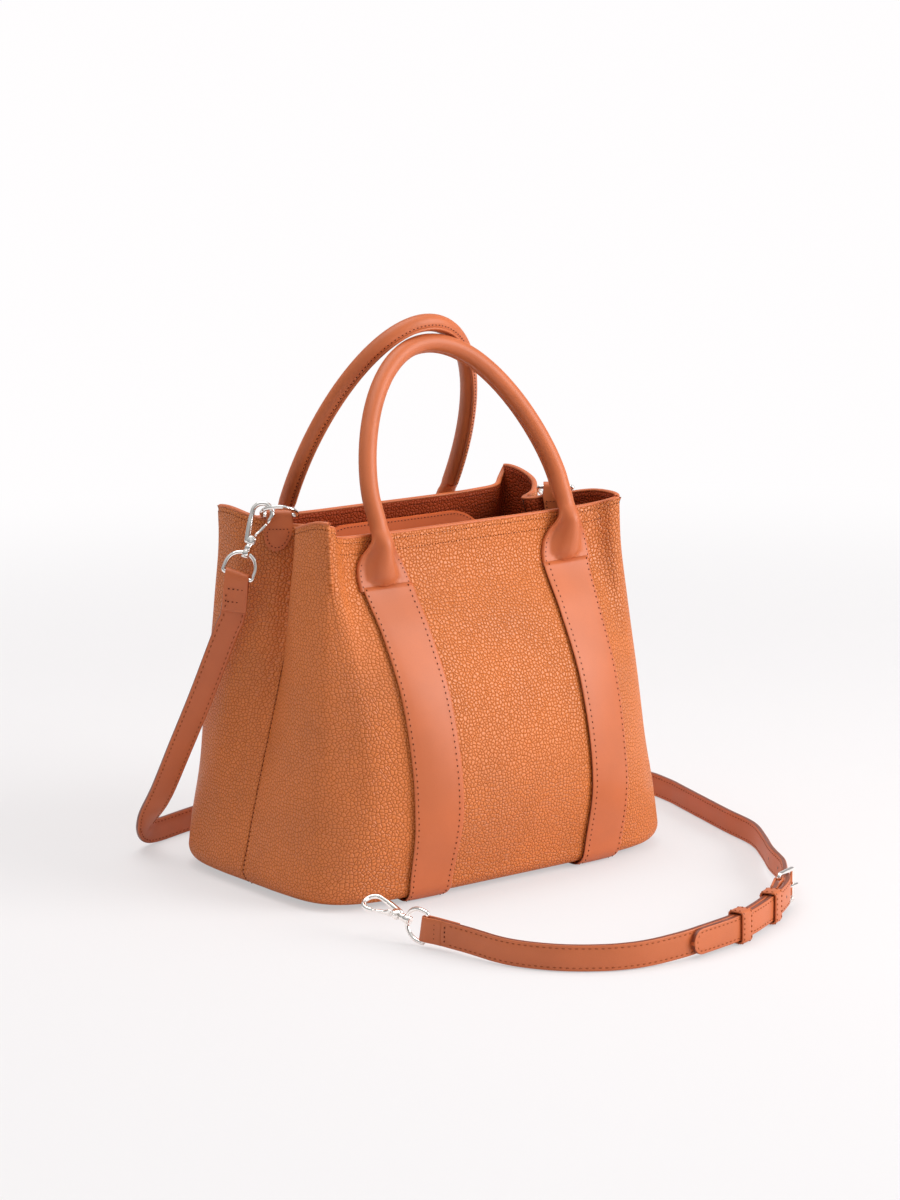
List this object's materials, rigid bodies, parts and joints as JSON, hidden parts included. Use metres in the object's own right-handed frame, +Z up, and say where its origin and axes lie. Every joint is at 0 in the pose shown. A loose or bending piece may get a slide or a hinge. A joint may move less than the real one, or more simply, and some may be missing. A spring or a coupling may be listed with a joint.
{
  "type": "handbag",
  "caption": "Tote handbag of pebbled leather with rolled top handles, folded side gussets, an inner pouch and a buckled shoulder strap on swivel hooks.",
  "frame": {"origin": "on the floor, under the middle of the bag's body, at the underside of the flat base", "axes": "+Z up, +X towards the wearer's end with the free ring, -Y out of the front"},
  "size_m": [0.3524, 0.4432, 0.3366],
  "materials": {
    "grain_leather": "pebbled, satin",
    "facing_leather": "pebbled, satin",
    "smooth_leather": "smooth, satin",
    "strap_leather": "smooth, satin, stitched edges",
    "pouch_leather": "smooth, satin",
    "handle_core": "matte",
    "lining": "matte",
    "base_board": "matte",
    "nickel": "polished"
  },
  "bodies": {
    "bag": {"front_panel": "grain_leather", "back_panel": "grain_leather", "front_facing": "facing_leather", "back_facing": "facing_leather", "front_left_band": "smooth_leather", "front_right_band": "smooth_leather", "back_left_band": "smooth_leather", "back_right_band": "smooth_leather", "front_left_tab": "smooth_leather", "front_right_tab": "smooth_leather", "back_left_tab": "smooth_leather", "back_right_tab": "smooth_leather", "lining": "lining", "base_panel": "grain_leather", "base_board": "base_board", "left_ring_tab": "smooth_leather", "right_ring_tab": "smooth_leather", "ring_a": "nickel", "strap_long": "strap_leather", "strap_short": "strap_leather", "fixed_keeper": "strap_leather"},
    "front_handle": {"front_handle_cover": "smooth_leather", "front_handle_core": "handle_core"},
    "back_handle": {"back_handle_cover": "smooth_leather", "back_handle_core": "handle_core"},
    "left_ring": {"left_d_ring": "nickel"},
    "right_ring": {"right_d_ring": "nickel"},
    "clipped_hook": {"hook_a_body": "nickel", "hook_a_rivet": "nickel"},
    "clipped_gate": {"hook_a_gate": "nickel"},
    "free_ring": {"ring_b": "nickel"},
    "free_hook": {"hook_b_body": "nickel", "hook_b_rivet": "nickel"},
    "free_gate": {"hook_b_gate": "nickel"},
    "buckle": {"buckle_frame": "nickel", "buckle_prong": "nickel"},
    "loose_keeper": {"sliding_keeper": "strap_leather"},
    "pouch": {"pouch_front": "pouch_leather", "pouch_back": "pouch_leather", "pouch_gusset": "pouch_leather"}
  },
  "joints": [
    {"name": "front_handle_swing", "type": "hinge", "parent": "bag", "child": "front_handle", "pos_m": [0, -0.059, 0.207], "axis": [1, 0, 0], "range_deg": [0, 100]},
    {"name": "back_handle_swing", "type": "hinge", "parent": "bag", "child": "back_handle", "pos_m": [0, 0.0605, 0.207], "axis": [1, 0, 0], "range_deg": [-100, 0]},
    {"name": "left_ring_swing", "type": "hinge", "parent": "bag", "child": "left_ring", "pos_m": [-0.09632, 0.0117, 0.22158], "axis": [-0.7673, 0.6413, 0], "range_deg": [-12, 0]},
    {"name": "right_ring_swing", "type": "hinge", "parent": "bag", "child": "right_ring", "pos_m": [0.09632, -0.0117, 0.22158], "axis": [0.7673, -0.6413, 0], "range_deg": [0, 200]},
    {"name": "clipped_hook_swivel", "type": "hinge", "parent": "bag", "child": "clipped_hook", "pos_m": [-0.11602, 0.01316, 0.20812], "axis": [0.4398, -0.05, 0.8967], "range_deg": [-5, 12]},
    {"name": "clipped_gate_swing", "type": "hinge", "parent": "clipped_hook", "child": "clipped_gate", "pos_m": [-0.11602, 0.01316, 0.20812], "axis": [0.6334, 0.7251, -0.2703], "range_deg": [-17, 0], "stiffness_Nm_per_rad": 0.01, "springref_deg": 17.19},
    {"name": "free_ring_swing", "type": "hinge", "parent": "bag", "child": "free_ring", "pos_m": [-0.1238, -0.1665, 0.0112], "axis": [0.0408, -0.1938, 0.9802], "range_deg": [-60, 60]},
    {"name": "free_hook_swivel", "type": "hinge", "parent": "free_ring", "child": "free_hook", "pos_m": [-0.12833, -0.14502, 0.01564], "axis": [-0.202, 0.9591, 0.198], "continuous": true},
    {"name": "free_gate_swing", "type": "hinge", "parent": "free_hook", "child": "free_gate", "pos_m": [-0.12833, -0.14502, 0.01564], "axis": [-0.3071, -0.254, 0.9172], "range_deg": [-17, 0], "stiffness_Nm_per_rad": 0.01, "springref_deg": 17.19},
    {"name": "buckle_swing", "type": "hinge", "parent": "bag", "child": "buckle", "pos_m": [0.08259, -0.23408, 0.011], "axis": [0, 0, 1], "range_deg": [-8, 0]},
    {"name": "loose_keeper_slide", "type": "slide", "parent": "bag", "child": "loose_keeper", "axis": [-0.9603, -0.2791, 0], "range_m": [-0.003, 0.003]},
    {"name": "pouch_lift", "type": "slide", "parent": "bag", "child": "pouch", "axis": [0, 0, 1], "range_m": [0, 0.05]}
  ]
}
